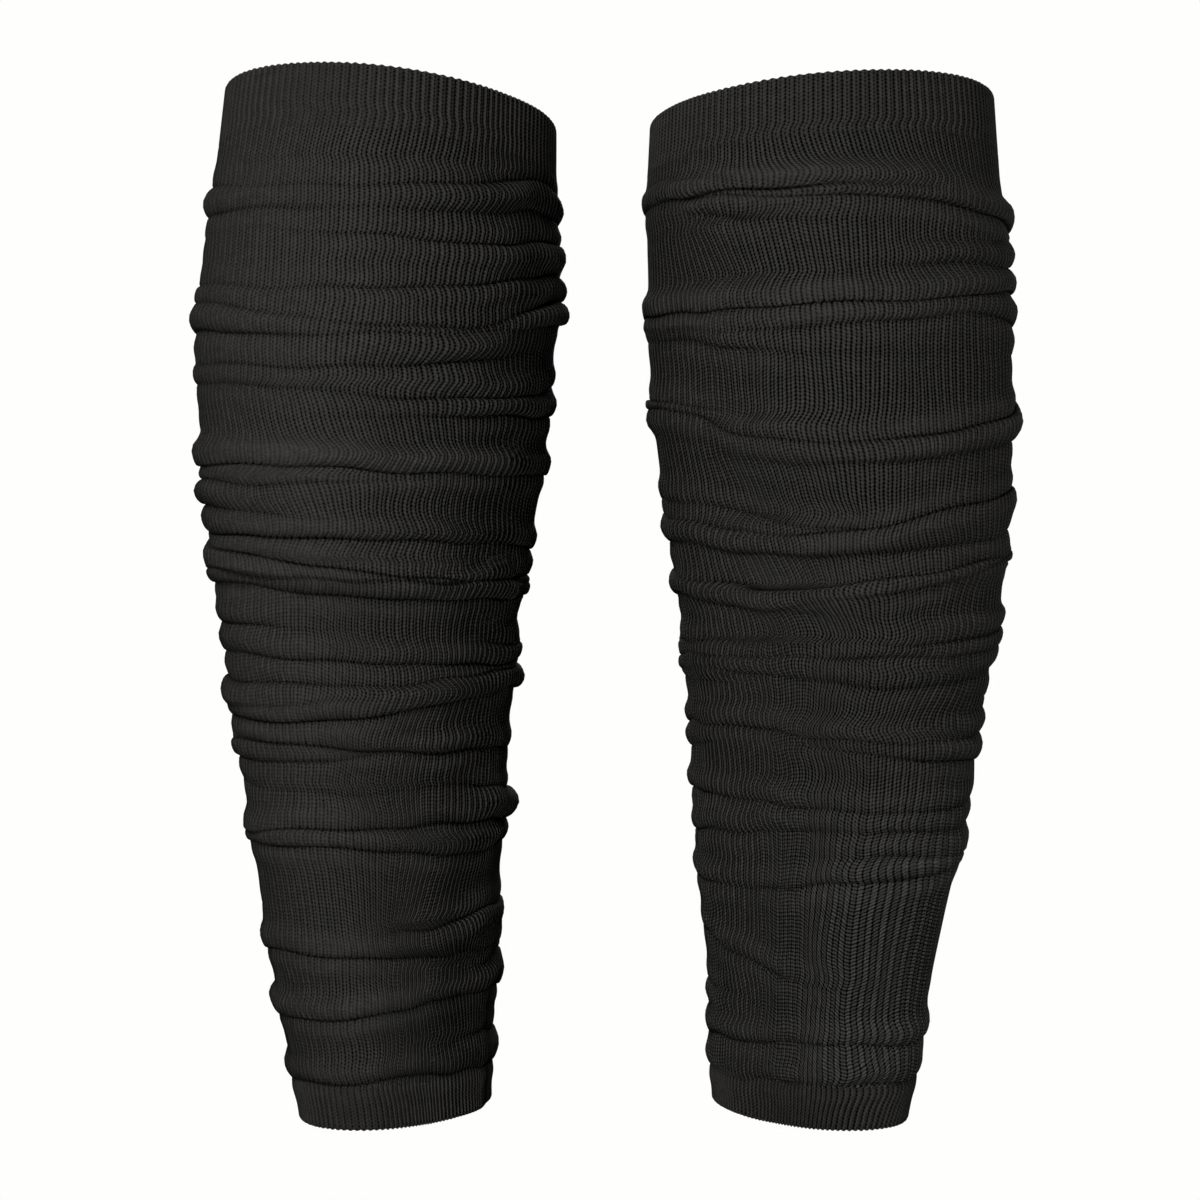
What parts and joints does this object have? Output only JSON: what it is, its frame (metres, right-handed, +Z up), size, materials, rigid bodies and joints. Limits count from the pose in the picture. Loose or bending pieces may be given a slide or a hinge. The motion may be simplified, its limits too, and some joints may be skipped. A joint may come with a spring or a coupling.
{
  "type": "pair of leg sleeves",
  "caption": "Pair of footless rib-knit leg sleeves worn scrunched from below the knee to the ankle, each a tapered open tube with turned cuffs and folds all the way down.",
  "frame": {"origin": "on the left leg's axis, half way down the left calf cuff, where the leg holds the sleeve; left and right are as seen from the front, looking along +Y", "axes": "+Z up the leg, +X from the left sleeve towards the right one, -Y towards the front"},
  "size_m": [0.2843, 0.1377, 0.3543],
  "materials": {
    "charcoal_rib_knit": "matt charcoal rib knit with dark gaps between the ribs",
    "charcoal_welt": "matt charcoal rib knit, double and closer, turned back as a welt"
  },
  "bodies": {
    "root": {"left_calf_cuff": "charcoal_welt", "left_leg_tube": "charcoal_rib_knit", "left_ankle_cuff": "charcoal_welt", "right_calf_cuff": "charcoal_welt", "right_leg_tube": "charcoal_rib_knit", "right_ankle_cuff": "charcoal_welt"}
  },
  "joints": []
}
